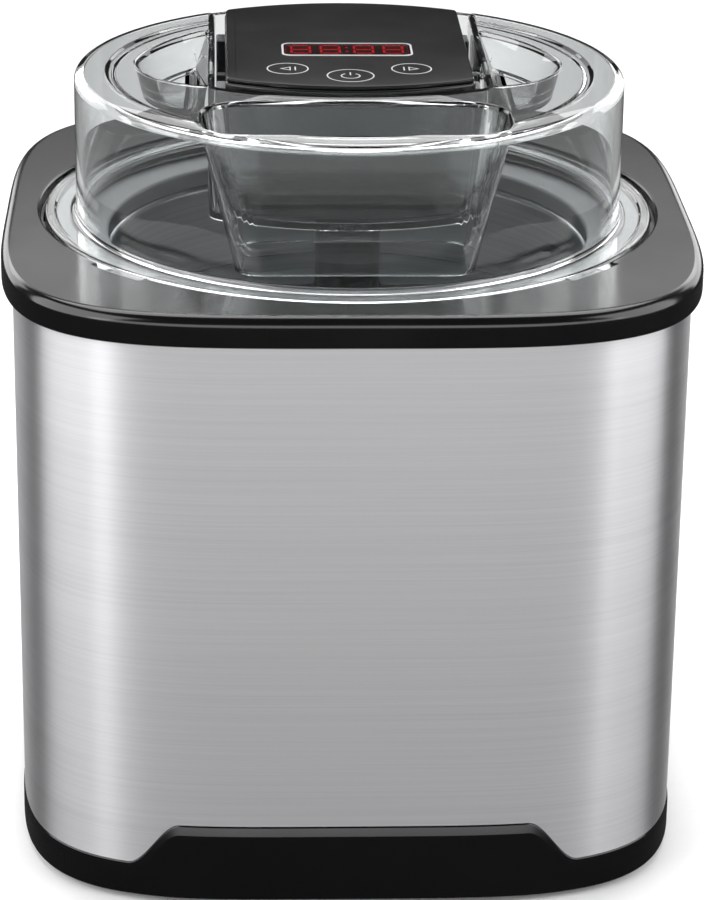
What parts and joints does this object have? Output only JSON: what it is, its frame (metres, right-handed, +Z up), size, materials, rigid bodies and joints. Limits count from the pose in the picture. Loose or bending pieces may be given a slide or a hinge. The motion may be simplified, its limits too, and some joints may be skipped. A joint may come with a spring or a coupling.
{
  "type": "ice cream maker",
  "caption": "Counter-top ice cream maker: brushed steel housing, black collar, freezer bowl, mixing paddle and a clear lid with feed funnel and removable motor unit.",
  "frame": {"origin": "on the floor, under the middle of the housing", "axes": "+Z up along the bowl and paddle axis, front with the display towards -Y, +X to the right seen from the front"},
  "size_m": [0.23, 0.236, 0.2524],
  "materials": {
    "gloss_black": "glossy black moulded plastic",
    "matt_black": "fine-grained black plastic",
    "brushed_steel": "horizontally brushed stainless steel",
    "screw_steel": "plated steel",
    "grey_plastic": "mid-grey plastic",
    "white_plastic": "white food-grade plastic",
    "rubber": "black rubber",
    "silicone": "mid grey silicone",
    "aluminium": "anodised aluminium, satin",
    "coolant": "frozen cooling liquid",
    "clear_plastic": "crystal-clear polymer moulding, polished",
    "panel_black": "charcoal glossy printed panel",
    "display_window": "dark red display lens",
    "led_display": "red numeric display module",
    "circuit_board": "green circuit board",
    "brass": "turned brass",
    "acetal": "natural acetal"
  },
  "bodies": {
    "housing": {"base_screw_front_left": "screw_steel", "base_screw_front_right": "screw_steel", "base_screw_rear_left": "screw_steel", "base_screw_rear_right": "screw_steel", "base_skirt": "gloss_black", "bottom_plate": "matt_black", "collar": "gloss_black", "collar_screw_front_left": "screw_steel", "collar_screw_front_right": "screw_steel", "collar_screw_rear_left": "screw_steel", "collar_screw_rear_right": "screw_steel", "foot_front_left": "rubber", "foot_front_right": "rubber", "foot_rear_left": "rubber", "foot_rear_right": "rubber", "inner_bucket": "grey_plastic", "steel_wrap": "brushed_steel"},
    "bowl": {"bowl_outer_shell": "white_plastic", "bowl_liner": "aluminium", "coolant_fill": "coolant", "filler_plug": "rubber", "bowl_gasket": "silicone", "bowl_rim": "grey_plastic"},
    "lid": {"clear_lid": "clear_plastic", "lid_gasket": "silicone"},
    "motor_unit": {"button_spring_left": "screw_steel", "button_spring_right": "screw_steel", "case_screw_front_left": "screw_steel", "case_screw_front_right": "screw_steel", "case_screw_rear_left": "screw_steel", "case_screw_rear_right": "screw_steel", "control_board": "circuit_board", "control_panel": "panel_black", "display_window": "display_window", "gear_plate": "screw_steel", "idler_axle": "screw_steel", "led_display": "led_display", "lower_bush": "brass", "motor": "screw_steel", "motor_lower_case": "matt_black", "motor_top_cover": "gloss_black", "plate_post_1": "brass", "plate_post_2": "brass", "plate_post_3": "brass", "plate_post_4": "brass", "power_jack": "matt_black", "touch_spring_centre": "brass", "touch_spring_left": "brass", "touch_spring_right": "brass", "upper_bush": "brass"},
    "output": {"output_gear": "acetal", "output_shaft": "screw_steel"},
    "idler": {"idler_gear": "acetal"},
    "pinion": {"motor_pinion": "brass"},
    "left_button": {"release_button_left": "grey_plastic"},
    "right_button": {"release_button_right": "grey_plastic"},
    "paddle": {"mixing_paddle": "matt_black"}
  },
  "joints": [
    {"name": "bowl_lift", "type": "slide", "parent": "housing", "child": "bowl", "axis": [0, 0, 1], "range_m": [0, 0.19]},
    {"name": "lid_lift", "type": "slide", "parent": "bowl", "child": "lid", "axis": [0, 0, 1], "range_m": [0, 0.08]},
    {"name": "motor_lift", "type": "slide", "parent": "lid", "child": "motor_unit", "axis": [0, 0, 1], "range_m": [0, 0.08]},
    {"name": "paddle_spin", "type": "hinge", "parent": "bowl", "child": "paddle", "pos_m": [0, 0, 0.1], "axis": [0, 0, 1], "continuous": true},
    {"name": "output_spin", "type": "hinge", "parent": "motor_unit", "child": "output", "pos_m": [0, 0, 0.21], "axis": [0, 0, 1], "continuous": true},
    {"name": "idler_spin", "type": "hinge", "parent": "motor_unit", "child": "idler", "pos_m": [0, 0.026, 0.215], "axis": [0, 0, 1], "continuous": true},
    {"name": "pinion_spin", "type": "hinge", "parent": "motor_unit", "child": "pinion", "pos_m": [0, 0.047, 0.215], "axis": [0, 0, 1], "continuous": true},
    {"name": "left_button_press", "type": "slide", "parent": "motor_unit", "child": "left_button", "axis": [1, 0, 0], "range_m": [0, 0.0025], "stiffness_N_per_m": 300},
    {"name": "right_button_press", "type": "slide", "parent": "motor_unit", "child": "right_button", "axis": [-1, 0, 0], "range_m": [0, 0.0025], "stiffness_N_per_m": 300}
  ],
  "couplings": [
    {"joint": "output_spin", "follows": "paddle_spin", "ratio": 1},
    {"joint": "idler_spin", "follows": "paddle_spin", "ratio": -3.3333},
    {"joint": "pinion_spin", "follows": "paddle_spin", "ratio": 8.3333}
  ]
}
